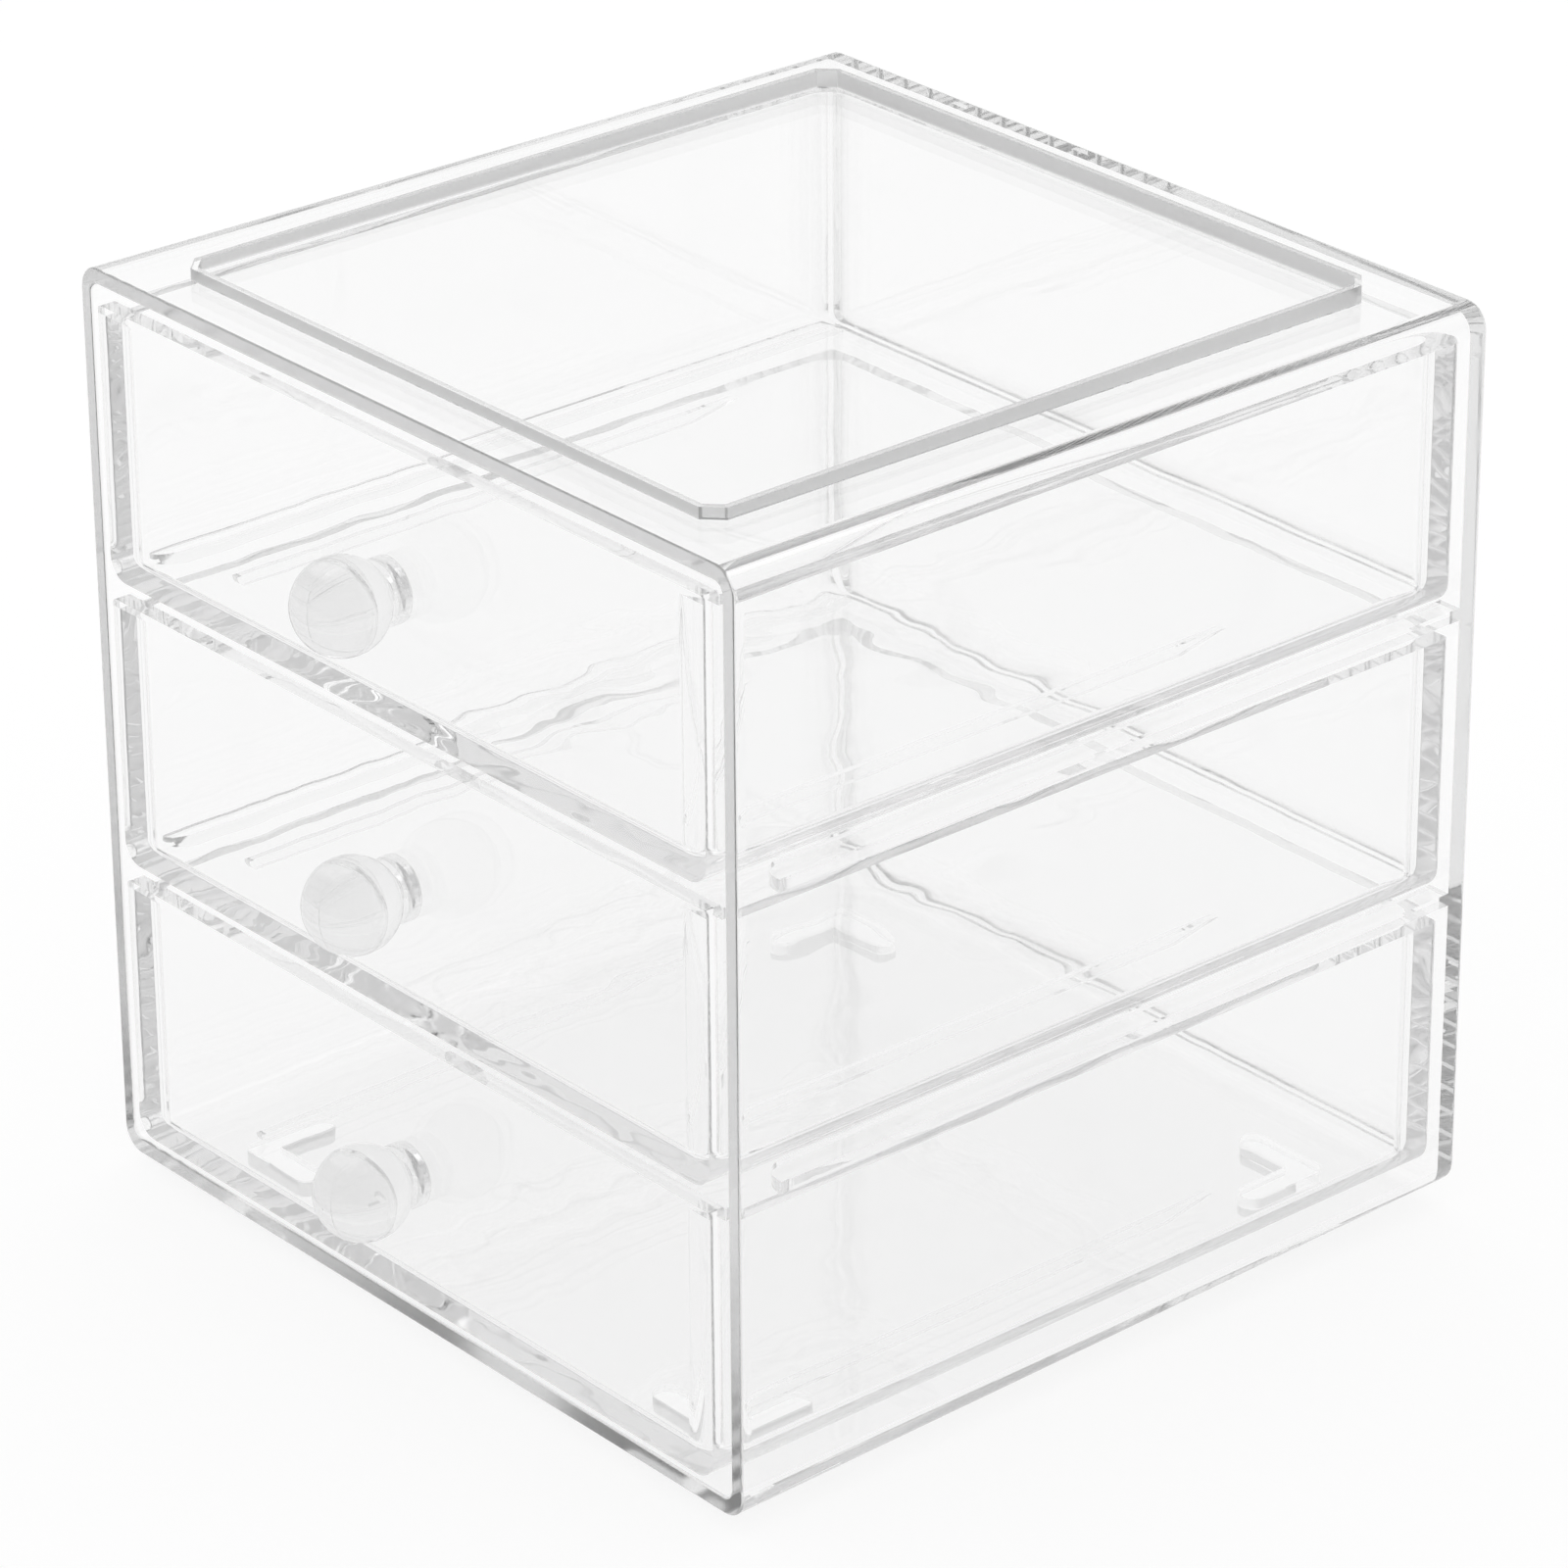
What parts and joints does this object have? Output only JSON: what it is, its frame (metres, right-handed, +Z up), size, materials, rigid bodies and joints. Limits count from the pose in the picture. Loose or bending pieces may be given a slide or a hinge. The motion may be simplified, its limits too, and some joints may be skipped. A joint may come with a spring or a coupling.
{
  "type": "drawer organizer",
  "caption": "Clear plastic tabletop box with pull-out drawers, ball knobs, a stacking rim on top and angle-shaped feet that drop inside the rim of a box below.",
  "frame": {"origin": "on the table, under the middle of the whole object, knobs included", "axes": "+Z up, -Y the way the drawers open, +X to the right of someone facing the drawers"},
  "size_m": [0.168, 0.1834, 0.1727],
  "materials": {
    "case_plastic": "clear, polished",
    "drawer_plastic": "clear, polished",
    "knob_plastic": "clear, polished"
  },
  "bodies": {
    "case": {"case_shell": "case_plastic"},
    "drawer_bottom": {"drawer_bottom": "drawer_plastic", "knob_bottom": "knob_plastic"},
    "drawer_middle": {"drawer_middle": "drawer_plastic", "knob_middle": "knob_plastic"},
    "drawer_top": {"drawer_top": "drawer_plastic", "knob_top": "knob_plastic"}
  },
  "joints": [
    {"name": "slide_bottom", "type": "slide", "parent": "case", "child": "drawer_bottom", "axis": [0, -1, 0], "range_m": [0, 0.11]},
    {"name": "slide_middle", "type": "slide", "parent": "case", "child": "drawer_middle", "axis": [0, -1, 0], "range_m": [0, 0.11]},
    {"name": "slide_top", "type": "slide", "parent": "case", "child": "drawer_top", "axis": [0, -1, 0], "range_m": [0, 0.11]}
  ]
}
